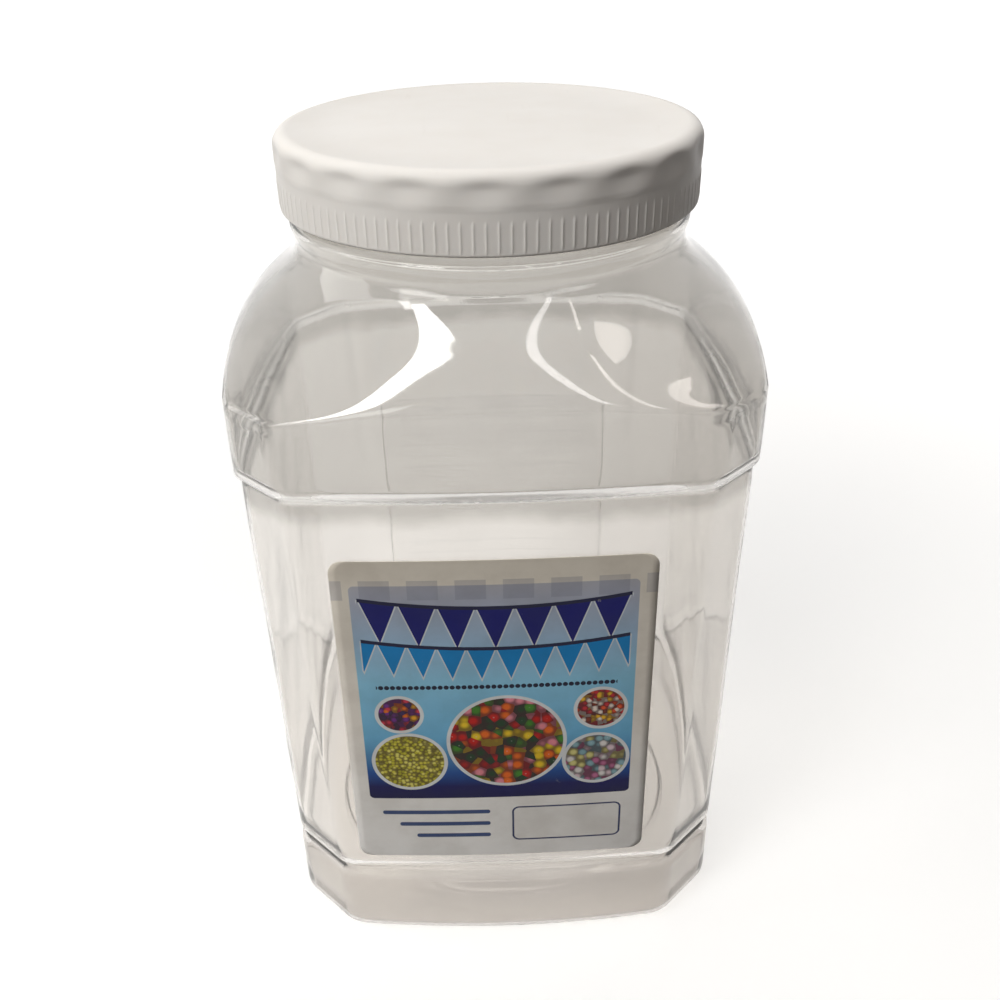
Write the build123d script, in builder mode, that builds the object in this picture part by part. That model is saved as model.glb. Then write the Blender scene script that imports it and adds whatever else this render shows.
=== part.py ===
from build123d import *
import os
from math import cos, exp, pi, radians, sin, sqrt

# Stackable storage jar: a clear blow-moulded square jar with cut corners, a ledge under a bowed
# shoulder, a round threaded mouth, a screw cap with a sealing disc, and two stuck-on labels.
# Millimetres. The origin is the centre of the base, on the surface that the jar stands on.
# +Z points up and -Y is the front, where the large label is.

# Heights, each measured from the one before it, from the base up
groove_height = 29.5           # the crease above the base
panel_height = 139.0           # crease to the underside of the ledge
band_height = 21.5             # ledge to where the panels start to draw in
shoulder_rise = 29.0           # from there to where the shoulder meets the neck
neck_bead_rise = 3.0           # plain root of the neck, under its bead
neck_bead_height = 3.0
cap_foot_gap = 2.3             # bead to the lower edge of the closed cap
cap_reach = 17.7               # lower edge of the closed cap to the rim of the mouth

# Neck and thread. The cap, the hollow that it stacks in and the body's width follow the neck
neck_radius = 54.7
neck_wall = 2.0
neck_root_step = 1.4           # the neck's root stands out this far
neck_bead_step = 0.9           # and its bead this much further
neck_bore_overlap = 2.7        # the bore is cut this far down into the shoulder
thread_pitch = 5.08
thread_turns = 1.25
thread_depth = 1.2
thread_width = 2.2             # along the axis, at the root of the ridge
thread_crest = 1.1             # along the axis, at its top
thread_sink = 0.3              # how deep each ridge is rooted in its wall
thread_start = 4.0             # first turn of the neck thread above the cap's lower edge
thread_top_gap = 0.8           # neck thread crest to the cap's inside wall
thread_running_gap = 0.45      # cap thread crest to neck wall

# Screw cap
cap_wall = 2.2
cap_top_wall = 1.8
cap_edge_radius = 3.5
cap_skirt_flare = 0.1          # the ribbed skirt widens by this much on the way up
cap_band_step = 0.2            # the band stands out this far over the skirt, on a slope as high
cap_band_height = 10.0         # plain band, from the top down
rib_count = 120
rib_width = 0.9
rib_depth = 0.25
rib_foot_gap = 0.8             # lower edge of the cap to the ribs
rib_top_gap = 1.8              # ribs to the band

# Sealing disc
disc_thickness = 1.0
disc_side_gap = 0.3

# Round hollow under the base that takes the cap of the jar below
recess_depth = 6.0
recess_clearance = 1.2         # around that cap
recess_draft = 1.2             # the hollow narrows by this much on the way up
standing_ring = 3.7            # ring that the jar stands on, at the middle of each side

# Blown body
wall = 0.9
heel_radius = 7.5
panel_lean = 1.2               # the panels lean out by this much from base to ledge
corner_cut_low = 16.5          # each cut corner, measured along the panels, at the base
corner_cut_high = 13.5         # the same at the ledge
corner_radius = 3.0            # rounding between a panel and a cut corner
corner_radius_least = 0.5      # the same on the inside, at least
groove_depth = 1.6
groove_half_height = 2.6
ledge_overhang = 1.2           # step out at the ledge
ledge_lip = 1.0                # rounding of the ledge's lower edge
band_lean = 0.1                # the band widens by this much above the ledge
band_lean_rise = 12.0          # and over this height
shoulder_power = 1.2           # above 1, the panels turn in later on their way up to the neck
corner_hollow_rise = 2.0       # the recessed corners start this far above the band
corner_hollow_side_gap = 5.6   # and this far in from the ends of the panels
tongue_half_width = 6.0        # half the strip of panel left between them near the neck
tongue_fade = 8.0              # height over which the panel narrows to that strip
heel_steps = 4
shoulder_steps = 6
slope_step = 0.5               # half the height over which a flank's slope is taken

# Bulge of the panels: how far the middle of a face stands out of the line through its ends
base_bow = 3.4
panel_bow = 2.0
shoulder_bow = 4.6
neck_bow = 0.6

# Labels. The gaps run to the ends of the flat panel, to the crease and to the ledge
label_thickness = 0.15
adhesive_gap = 0.1
label_corner_radius = 4.0
front_label_side_gap = 7.2
front_label_foot_gap = 8.0
front_label_top_gap = 19.0
front_label_offset = -1.8      # stuck on a little to the left of centre
rear_label_side_gap = 8.7
rear_label_foot_gap = 6.5
rear_label_top_gap = 37.5

# Heights that follow from the sizes above
ledge_height = groove_height + panel_height
shoulder_height = ledge_height + band_height
neck_root_height = shoulder_height + shoulder_rise
neck_bead_foot = neck_root_height + neck_bead_rise
neck_bead_top = neck_bead_foot + neck_bead_height
finish_height = neck_bead_top + cap_foot_gap
mouth_height = finish_height + cap_reach
cap_inner_top = mouth_height + disc_thickness
cap_top_height = cap_inner_top + cap_top_wall
cap_band_foot = cap_top_height - cap_band_height
rib_foot = finish_height + rib_foot_gap
rib_height = cap_band_foot - rib_top_gap - rib_foot
thread_length = thread_pitch * thread_turns

# Radii and widths that follow, from the mouth out to the body
neck_inner_radius = neck_radius - neck_wall
neck_root_radius = neck_radius + neck_root_step
neck_bead_radius = neck_root_radius + neck_bead_step
cap_inner_radius = neck_radius + thread_depth + thread_top_gap
cap_skirt_foot_radius = cap_inner_radius + cap_wall
cap_skirt_radius = cap_skirt_foot_radius + cap_skirt_flare
cap_radius = cap_skirt_radius + cap_band_step
disc_radius = cap_inner_radius - disc_side_gap
recess_radius = cap_radius + recess_clearance
panel_half_width_low = recess_radius + standing_ring + heel_radius - base_bow
panel_half_width_high = panel_half_width_low + panel_lean
band_half_width = panel_half_width_high + ledge_overhang
band_panel_end = band_half_width - corner_cut_high
corner_hollow_half_width = band_panel_end - corner_hollow_side_gap
diagonal = sqrt(2)


def share_of_panel(height):
    """How far up the label panels a height lies, from 0 at the groove to 1 at the ledge."""
    return min(max((height - groove_height) / panel_height, 0), 1)


def corner_cut(height):
    """Leg of the cut corner, which shrinks from the base to the ledge and then stays."""
    return corner_cut_low + (corner_cut_high - corner_cut_low) * share_of_panel(height)


def panel_half_width(height):
    """Half width across the ends of the label panels, which lean out a little."""
    return panel_half_width_low + panel_lean * share_of_panel(height)


def shoulder_share(height):
    """How far a shoulder panel has drawn in, from 0 where it starts to 1 at the neck."""
    rise = (height - shoulder_height) / shoulder_rise
    eased = min(max(rise, 0), 1) ** shoulder_power
    return (1 - cos(pi * eased)) / 2


def shoulder_reach(height):
    """Middle of a shoulder panel, measured from the axis."""
    widest = band_half_width + band_lean + shoulder_bow
    return widest + (neck_root_radius - widest) * shoulder_share(height)


def shoulder_bulge(height):
    """Bow of a shoulder panel, which flattens towards the neck."""
    return shoulder_bow + (neck_bow - shoulder_bow) * shoulder_share(height)


def hollow_reach(height):
    """Radius of the recessed corners, where they leave the narrowing strip of panel."""
    climb = height - shoulder_height - corner_hollow_rise
    wide = corner_hollow_half_width - tongue_half_width
    strip = tongue_half_width + wide * exp(-climb / tongue_fade)
    depth = shoulder_reach(height) - shoulder_bulge(height) * (strip / band_panel_end) ** 2
    return sqrt(depth ** 2 + strip ** 2)


def level(height, half_width, bow, inset):
    """One eight-sided level of the jar with bowed panels, moved inwards by the inset."""
    reach = half_width - inset
    cut = corner_cut(height) - inset * (2 - diagonal)
    rounding = max(corner_radius - inset, corner_radius_least)
    with BuildSketch(Plane.XY.offset(height)) as outline:
        with BuildLine():
            for quarter in range(4):
                turn = 90 * quarter
                start = Vector(reach, cut - reach).rotate(Axis.Z, turn)
                crown = Vector(reach + bow, 0).rotate(Axis.Z, turn)
                end = Vector(reach, reach - cut).rotate(Axis.Z, turn)
                following = Vector(reach, cut - reach).rotate(Axis.Z, turn + 90)
                ThreePointArc(start, crown, end)
                Line(end, following)
        make_face()
        fillet(outline.vertices(), rounding)
    return outline.sketch


def stack(levels, inset, smooth=False):
    """A body through a list of (height, half width, bow) levels."""
    with BuildPart() as body:
        for height, half_width, bow in levels:
            add(level(height, half_width, bow, inset))
        loft(ruled=not smooth)
    return body.part


def column(inset):
    """Base, groove and label panels, up to the ledge."""
    levels = []
    for step in range(heel_steps + 1):
        angle = radians(90 * step / heel_steps)
        rise = heel_radius - (heel_radius - inset) * cos(angle)
        tuck = (heel_radius - inset) * (1 - sin(angle))
        levels.append((rise, panel_half_width(rise) - tuck, base_bow))
    below = groove_height - groove_half_height
    above = groove_height + groove_half_height
    levels.append((below, panel_half_width(below), base_bow))
    levels.append((groove_height, panel_half_width(groove_height) - groove_depth, panel_bow))
    levels.append((above, panel_half_width(above), panel_bow))
    levels.append((ledge_height + inset, panel_half_width(ledge_height), panel_bow))
    return stack(levels, inset)


def band(inset):
    """Upright band between the ledge and the shoulder."""
    widest = band_half_width + band_lean
    levels = [
        (ledge_height + inset, band_half_width - ledge_lip, shoulder_bow),
        (ledge_height + ledge_lip + inset, band_half_width, shoulder_bow),
        (ledge_height + band_lean_rise, widest, shoulder_bow),
        (shoulder_height, widest, shoulder_bow),
    ]
    return stack(levels, inset)


def shoulder_panels(inset):
    """The four bowed panels of the shoulder, drawn in towards the neck."""
    levels = []
    for step in range(shoulder_steps + 1):
        height = shoulder_height + shoulder_rise * step / shoulder_steps
        bow = shoulder_bulge(height)
        sunk = height - inset * shoulder_share(height) / diagonal
        levels.append((sunk, shoulder_reach(height) - bow, bow))
    return stack(levels, inset, smooth=True)


def shoulder_round(inset):
    """Round body whose hollow flank cuts the recessed corners of the shoulder."""
    far = (band_half_width + shoulder_bow) * diagonal
    start = shoulder_height + corner_hollow_rise
    flank = []
    for step in range(shoulder_steps + 1):
        height = start + (neck_root_height - start) * step / shoulder_steps
        narrowing = hollow_reach(height - slope_step) - hollow_reach(height + slope_step)
        normal = Vector(2 * slope_step, narrowing).normalized() * inset
        flank.append((hollow_reach(height) - normal.X, height - normal.Y))
    with BuildPart() as body:
        with BuildSketch(Plane.XZ):
            with BuildLine():
                Spline(flank)
                Polyline(flank[-1], (0, flank[-1][1]), (0, shoulder_height), (far, shoulder_height),
                         (far, start - inset), flank[0])
            make_face()
        revolve(axis=Axis.Z)
    return body.part


def blown_form(inset):
    """The whole body below the neck, outside for no inset and inside for an inset of one wall."""
    with BuildPart() as body:
        add(shoulder_panels(inset))
        add(shoulder_round(inset), mode=Mode.INTERSECT)
        add(band(inset))
        add(column(inset))
    return body.part


def thread_ridge(radius, depth, foot, outwards):
    """Helical ridge rooted in a wall of the given radius, standing in or out by the depth."""
    side = 1 if outwards else -1
    root = radius - side * thread_sink
    crest = radius + side * depth
    with BuildPart() as ridge:
        with BuildLine() as path:
            Helix(pitch=thread_pitch, height=thread_length, radius=radius, center=(0, 0, foot))
        with BuildSketch(Plane.XZ) as profile:
            with BuildLine():
                Polyline((root, foot - thread_width / 2), (crest, foot - thread_crest / 2),
                         (crest, foot + thread_crest / 2), (root, foot + thread_width / 2), close=True)
            make_face()
        sweep(path=path.wire(), is_frenet=True)
    return ridge.part


def jar_body():
    """Blown body with its threaded neck, open at the mouth and hollow under the base."""
    with BuildPart() as body:
        add(blown_form(0))
        root_foot = neck_root_height - wall
        for radius, foot, top in (
            (neck_root_radius, root_foot, neck_bead_top),
            (neck_bead_radius, neck_bead_foot, neck_bead_top),
            (neck_radius, root_foot, mouth_height),
        ):
            with BuildSketch(Plane.XY.offset(foot)):
                Circle(radius)
            extrude(amount=top - foot)
        add(thread_ridge(neck_radius, thread_depth, finish_height + thread_start, True))
        add(blown_form(wall), mode=Mode.SUBTRACT)
        bore_foot = neck_root_height - neck_bore_overlap
        with BuildSketch(Plane.XY.offset(bore_foot)):
            Circle(neck_inner_radius)
        extrude(amount=mouth_height - bore_foot, mode=Mode.SUBTRACT)
        with BuildSketch(Plane.XY):
            Circle(recess_radius + wall)
        extrude(amount=recess_depth + wall)
        with BuildSketch(Plane.XY):
            Circle(recess_radius)
        with BuildSketch(Plane.XY.offset(recess_depth)):
            Circle(recess_radius - recess_draft)
        loft(mode=Mode.SUBTRACT)
    return body.part


def screw_cap():
    """White cap: a plain band over a ribbed skirt, with a thread inside."""
    with BuildPart() as cap:
        with BuildSketch(Plane.XZ):
            with BuildLine():
                Polyline((0, finish_height), (cap_skirt_foot_radius, finish_height),
                         (cap_skirt_radius, cap_band_foot), (cap_radius, cap_band_foot + cap_band_step),
                         (cap_radius, cap_top_height), (0, cap_top_height), close=True)
            make_face()
        revolve(axis=Axis.Z)
        fillet(cap.faces().sort_by(Axis.Z)[-1].edges(), cap_edge_radius)
        with BuildSketch(Plane.XY.offset(finish_height)):
            Circle(cap_inner_radius)
        extrude(amount=cap_inner_top - finish_height, mode=Mode.SUBTRACT)
        crest = cap_inner_radius - neck_radius - thread_running_gap
        mating_start = finish_height + thread_start - thread_pitch / 2
        add(thread_ridge(cap_inner_radius, crest, mating_start, False))
        with PolarLocations(cap_skirt_foot_radius, rib_count):
            with Locations((0, 0, rib_foot + rib_height / 2)):
                Box(2 * rib_depth, rib_width, rib_height)
    return cap.part


def seal_disc():
    """Soft disc between the rim of the neck and the underside of the cap."""
    with BuildPart() as disc:
        with BuildSketch(Plane.XY.offset(mouth_height)):
            Circle(disc_radius)
        extrude(amount=disc_thickness)
    return disc.part


def label(side_gap, foot_gap, top_gap, offset, side):
    """Film stuck on a label panel: side is -1 on the front and 1 on the rear."""
    width = 2 * (panel_half_width_low - corner_cut_low - side_gap)
    height = panel_height - foot_gap - top_gap
    with BuildPart() as film:
        add(column(-adhesive_gap - label_thickness))
        add(column(-adhesive_gap), mode=Mode.SUBTRACT)
        with BuildSketch(Plane.XZ):
            with Locations((offset, groove_height + foot_gap + height / 2)):
                RectangleRounded(width, height, label_corner_radius)
        extrude(amount=-side * 2 * panel_half_width_high, mode=Mode.INTERSECT)
    return film.part


pieces = {
    "jar_body": jar_body(),
    "screw_cap": screw_cap(),
    "seal_disc": seal_disc(),
    "front_label": label(
        front_label_side_gap, front_label_foot_gap, front_label_top_gap, front_label_offset, side=-1
    ),
    "rear_label": label(
        rear_label_side_gap, rear_label_foot_gap, rear_label_top_gap, offset=0, side=1
    ),
}

os.makedirs("parts", exist_ok=True)
for name, piece in pieces.items():
    piece.label = name
    export_step(piece, f"parts/{name}.step")
    print(name, len(piece.solids()), "solid", round(piece.volume / 1000, 2), "cm3")
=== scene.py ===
import math

import bpy
import numpy as np
from mathutils import Matrix, Quaternion, Vector


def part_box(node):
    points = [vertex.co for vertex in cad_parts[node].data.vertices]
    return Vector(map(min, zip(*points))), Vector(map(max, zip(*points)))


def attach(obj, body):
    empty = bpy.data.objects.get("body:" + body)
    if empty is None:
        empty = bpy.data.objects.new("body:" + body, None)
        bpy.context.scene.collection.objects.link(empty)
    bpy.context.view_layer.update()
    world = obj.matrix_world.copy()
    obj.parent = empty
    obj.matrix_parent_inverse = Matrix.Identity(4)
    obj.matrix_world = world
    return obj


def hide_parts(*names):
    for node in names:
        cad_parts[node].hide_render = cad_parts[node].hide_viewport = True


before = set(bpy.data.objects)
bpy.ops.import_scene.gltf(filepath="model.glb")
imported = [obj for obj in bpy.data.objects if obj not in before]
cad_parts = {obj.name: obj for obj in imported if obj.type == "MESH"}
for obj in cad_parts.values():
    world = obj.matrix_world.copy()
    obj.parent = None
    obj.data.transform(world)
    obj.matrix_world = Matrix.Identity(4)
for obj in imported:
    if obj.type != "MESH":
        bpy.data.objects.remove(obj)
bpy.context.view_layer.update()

# Stackable storage jar: clear blown body, white screw cap, sealing disc and two film labels.
# Sizes are in millimetres, and become metres where a mesh, lamp or camera is made.
MM = 0.001
jar_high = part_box("jar_body")[1]
cap_low, cap_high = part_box("screw_cap")
disc_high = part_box("seal_disc")[1]
front_low, front_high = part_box("front_label")
rear_low, rear_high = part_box("rear_label")

# Heights, from the cap down
neck_gap = 2.3  # neck that shows between its bead and the cap
neck_bead_height = 3.0
neck_bead_lap = 1.6  # the bead's soft upper end reaches this far above it
neck_root_rise = 3.0
shoulder_rise = 29.0
band_rise = 21.5
panel_rise = 139.0
mouth_height = jar_high[2] / MM
cap_foot = cap_low[2] / MM
cap_top = cap_high[2] / MM
cap_roof = disc_high[2] / MM
neck_bead_top = cap_foot - neck_gap
neck_bead_foot = neck_bead_top - neck_bead_height
neck_bead_end = neck_bead_top + neck_bead_lap
neck_root_height = neck_bead_foot - neck_root_rise
shoulder_height = neck_root_height - shoulder_rise
ledge_height = shoulder_height - band_rise
groove_height = ledge_height - panel_rise

# Blown body
shoulder_bow = 4.6  # bulge of the panels at each level
neck_bow = 0.6
panel_bow = 2.0
base_bow = 3.4
band_lean = 0.1
band_lean_rise = 12.0
ledge_overhang = 1.2
panel_lean = 1.2
band_half_width = jar_high[0] / MM - shoulder_bow - band_lean
panel_half_width_high = band_half_width - ledge_overhang
panel_half_width_low = panel_half_width_high - panel_lean
corner_cut_low = 16.5
corner_cut_high = 13.5
heel_radius = 7.5
heel_corner_tuck = 3.5  # the foot's cut corners grow by this much towards the floor
corner_per_inset = 0.586  # an offset side's cut corner shrinks by this share of the offset
groove_depth = 1.6
groove_half_height = 2.6
groove_sharpness = 1.6
ledge_lip = 1.0
ledge_fillet = 0.9
inner_ledge_fall = 3.0  # the inside of the blown wall turns more gently at the ledge
inner_ledge_rise = 4.0
inner_groove_spread = 1.7  # and is wider and shallower behind the crease
inner_groove_depth = 1.1
shoulder_power = 1.2
corner_hollow_rise = 2.0
corner_hollow_inset = 5.6
corner_hollow_half_width = band_half_width - corner_cut_high - corner_hollow_inset
tongue_half_width = 6.0
tongue_fade = 8.0
wall = 0.9
edge_blend = 2.6  # rounding where a panel meets a cut corner
hollow_blend_low = 6.0  # wider rounding along the edges of the recessed corners, at their foot
hollow_blend_high = 3.6  # and up at the neck
hollow_blend_start = 5.0  # the rounding changes from this far above the shoulder's foot,
hollow_blend_rise = 10.0  # and over this height
neck_join = 2.5  # height over which the shoulder becomes round
wave_height = 0.09  # the blown panels aren't quite even
wave_fade_low = 12.0  # above the crease the unevenness grows over this height,
wave_fade_high = 6.0  # and under the ledge it fades over this one

# Round hollow under the base
recess_depth = 6.0
recess_clearance = 1.2
recess_radius = cap_high[0] / MM + recess_clearance
recess_draft = 1.2
recess_edge = 1.2

# Neck and thread
neck_radius = 54.7
neck_bore = 52.7
neck_root_radius = 56.1
neck_bead_radius = 57.0
neck_bead_swell = 4.0  # height over which the bead swells, and over which it falls to the neck
neck_bead_fall = 3.2
neck_shell = 1.0  # wall of the neck up to the cap's lower edge
neck_seam = 0.2  # the blown wall's inside ends this far under the neck's
neck_bore_taper = 9.0  # over this height above its bead the inside narrows to the bore
rim_rounding = 0.8
rim_flare = 0.15  # first slight widening of the bore below the rim
thread_pitch = 5.08
thread_turns = 1.25
thread_depth = 1.2
thread_root = 2.2
thread_crest = 1.1
thread_start = 4.0
thread_taper = 0.03  # share of a turn over which a ridge rises from the wall

# Screw cap
cap_radius = cap_high[0] / MM
skirt_radius = 59.0
skirt_foot_radius = 58.9
cap_bore = 56.7
cap_edge = 3.5
cap_inner_edge = 0.8  # rounding between the bore and the underside of the top
cap_foot_edge = 0.5  # rounding at the skirt's foot: its height,
cap_foot_tuck = 0.45  # how far it draws in,
cap_foot_outer = 0.6  # and the edges of the flat foot inside the skirt
cap_foot_inner = 0.4  # and outside the bore
cap_band_height = 10.0
cap_band_foot = cap_top - cap_band_height
top_rim_radius = 54.9  # the top's middle sinks a little inside a raised rim
top_panel_radius = 53.9
top_panel_sink = 0.25
cap_thread_depth = 1.55
flute_count = 20
flute_depth = 1.0
flute_shift = 0.03
flute_margin = 0.8  # plain stretch at both ends of a flute
flute_rise = 6.0  # height over which it deepens from its foot
flute_fade = 4.2  # and over which it fades towards the top
rib_count = 120
rib_half = 0.09  # half of a rib's width as a share of the spacing
rib_side = 0.07  # its sloping side
rib_depth = 0.15
rib_end = 0.5  # height over which it rises from the skirt
rib_margin_low = 0.8
rib_margin_high = 1.8
cap_step_height = 2.4
rib_low = cap_foot + rib_margin_low
rib_high = cap_band_foot - rib_margin_high

# Labels
label_corner = 4.0
label_faces = (0.02, 0.17)  # how far the two faces of a film stand off the wall
label_clearance = 2.1  # and how many times the wall's unevenness they clear

# Rows up the walls: how far apart they lie, in millimetres
inside_coarseness = 1.8  # inside the body they lie farther apart by this factor
heel_rows = 10  # this one is a count, round the heel
base_rows = 4.0
crease_rows = 0.5
panel_rows = 5.0
ledge_rows = 0.7
band_rows = 2.4
shoulder_rows = 0.7
bead_rows = 0.42
thread_rows = 0.44
inner_neck_rows = 0.6
hidden_neck_rows = 1.4
cap_rows = 0.75
cap_step_rows = 0.3
cap_band_rows = 0.55
label_rows = 4.0

# Facets around
octant_columns = 40
column_crowd = 4.5  # how much closer the columns stand beside an edge, and within what angle
crowd_angle = math.radians(4.5)
crowd_fade = 16.0  # under the neck the crowding ends over this height
ridge_angle_least = math.radians(10)
rib_columns = (-0.34, -0.15, -0.10, -0.05, 0.0, 0.05, 0.10, 0.15, 0.34)
label_columns = 41
label_bends = 7  # rows round a label's corner


def ease(share):
    """Smooth step from 0 to 1."""
    share = np.clip(share, 0, 1)
    return share * share * (3 - 2 * share)


def blend_min(a, b, width):
    """The smaller of two radii, with the edge between them rounded over the width."""
    near = np.clip(width - np.abs(a - b), 0, None) / width
    return np.minimum(a, b) - near * near * width / 4


def steps(low, high, step):
    """Evenly spaced values from low to high, both included."""
    count = max(1, round(abs(high - low) / step))
    return [low + (high - low) * i / count for i in range(count + 1)]


def arc_steps(count):
    """Angles of a quarter turn, its start left out."""
    return [math.pi / 2 * i / count for i in range(1, count + 1)]


# Outline of the jar at a height, as radius over angle
def share_of_panel(height):
    """0 at the crease, 1 at the ledge."""
    return min(max((height - groove_height) / (ledge_height - groove_height), 0), 1)


def corner_cut(height):
    """How much the corners are cut, measured along a side."""
    return corner_cut_low + (corner_cut_high - corner_cut_low) * share_of_panel(height)


def panel_half_width(height):
    """Half width of the jar across its label panels, without their bow."""
    return panel_half_width_low + panel_lean * share_of_panel(height)


def panel_bulge(height):
    """Bow of the base wall under the crease, and of the label panels over it."""
    settle = float(ease((height - groove_height) / (2 * groove_half_height) + 0.5))
    return base_bow + (panel_bow - base_bow) * settle


def groove_dent(height, outside=True):
    """How far the crease dents the wall."""
    spread = 1 if outside else inner_groove_spread
    depth = groove_depth if outside else inner_groove_depth
    across = (height - groove_height) / groove_half_height / spread
    return depth * math.exp(-groove_sharpness * across * across)


def shoulder_share(height):
    """0 at the shoulder's foot, 1 at the root of the neck, along a smooth curve."""
    rise = min(max((height - shoulder_height) / (neck_root_height - shoulder_height), 0), 1)
    return (1 - math.cos(math.pi * rise ** shoulder_power)) / 2


def shoulder_reach(height):
    """Radius of the shoulder at the middle of a side."""
    widest = band_half_width + band_lean + shoulder_bow
    return widest + (neck_root_radius - widest) * shoulder_share(height)


def shoulder_bulge(height):
    """Bow of the shoulder's sides."""
    return shoulder_bow + (neck_bow - shoulder_bow) * shoulder_share(height)


def hollow_strip(height):
    """Half width of the panel left between two recessed corners."""
    climb = height - shoulder_height - corner_hollow_rise
    wide = corner_hollow_half_width - tongue_half_width
    return tongue_half_width + wide * math.exp(-climb / tongue_fade)


def hollow_reach(height):
    """Radius of the recessed corners of the shoulder."""
    strip = hollow_strip(height)
    panel_end = band_half_width - corner_cut_high
    depth = shoulder_reach(height) - shoulder_bulge(height) * (strip / panel_end) ** 2
    return math.hypot(depth, strip)


def fold(angles):
    """Angle from the middle of the nearest side, from 0 to an eighth of a turn."""
    quarter = math.pi / 2
    return np.abs(np.mod(angles + quarter / 2, quarter) - quarter / 2)


def eight_sided(angles, half_width, bow, cut, rounding):
    """Radius of a square with bowed sides and cut corners."""
    side = fold(angles)
    crown = half_width + bow
    curve = bow / (half_width - cut) ** 2 * np.sin(side) ** 2
    face = 2 * crown / (np.cos(side) + np.sqrt(np.cos(side) ** 2 + 4 * curve * crown))
    plane = (2 * half_width - cut) / math.sqrt(2) / np.cos(math.pi / 4 - side)
    return blend_min(face, plane, rounding)


def columns(edge, crowding):
    """Angles right round, closer together beside an edge that lies at the same angle on all sides."""
    fine = np.linspace(0, math.pi / 4, 400)
    density = 1 + crowding * np.exp(-((fine - edge) / crowd_angle) ** 2)
    total = np.concatenate([[0], np.cumsum((density[1:] + density[:-1]) / 2)])
    octant = np.interp(np.linspace(0, total[-1], octant_columns + 1), total, fine)
    side = np.concatenate([-octant[:0:-1], octant[:-1]])
    return np.concatenate([side + turn * math.pi / 2 for turn in range(4)])


def edge_angle(half_width, cut):
    """Angle from the middle of a side to its edge with the cut corner."""
    return math.atan2(half_width - cut, half_width)


def panel_wave(angles, height):
    """Slight unevenness of the blown wall."""
    wave = np.sin(3 * angles + height / 17.0) + 0.6 * np.sin(7 * angles - height / 11.0 + 1.3)
    return wave_height * (wave + 0.5 * np.sin(13 * angles + height / 7.0 + 0.4))


def thread_rise(angles, height, foot, depth):
    """How far a helical ridge stands out at each angle of one height."""
    turns = np.mod(angles, 2 * math.pi) / (2 * math.pi)
    rise = np.zeros_like(angles)
    for lap in range(math.ceil(thread_turns) + 1):
        along = turns + lap
        off_centre = np.abs(height - foot - thread_pitch * along)
        ridge = np.clip((thread_root / 2 - off_centre) / ((thread_root - thread_crest) / 2), 0, 1)
        taper = ease(np.minimum(along, thread_turns - along) / thread_taper)
        rise = np.maximum(rise, depth * ridge * taper)
    return rise


def neck_profile(height):
    """Outer radius of the neck above its root, with its bead as one soft swelling."""
    swell = float(ease((height - neck_root_height) / neck_bead_swell))
    drop = float(ease((height - neck_bead_end + neck_bead_fall) / neck_bead_fall))
    bead = neck_bead_radius - neck_root_radius
    return neck_root_radius + bead * swell - (neck_bead_radius - neck_radius) * drop


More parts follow.
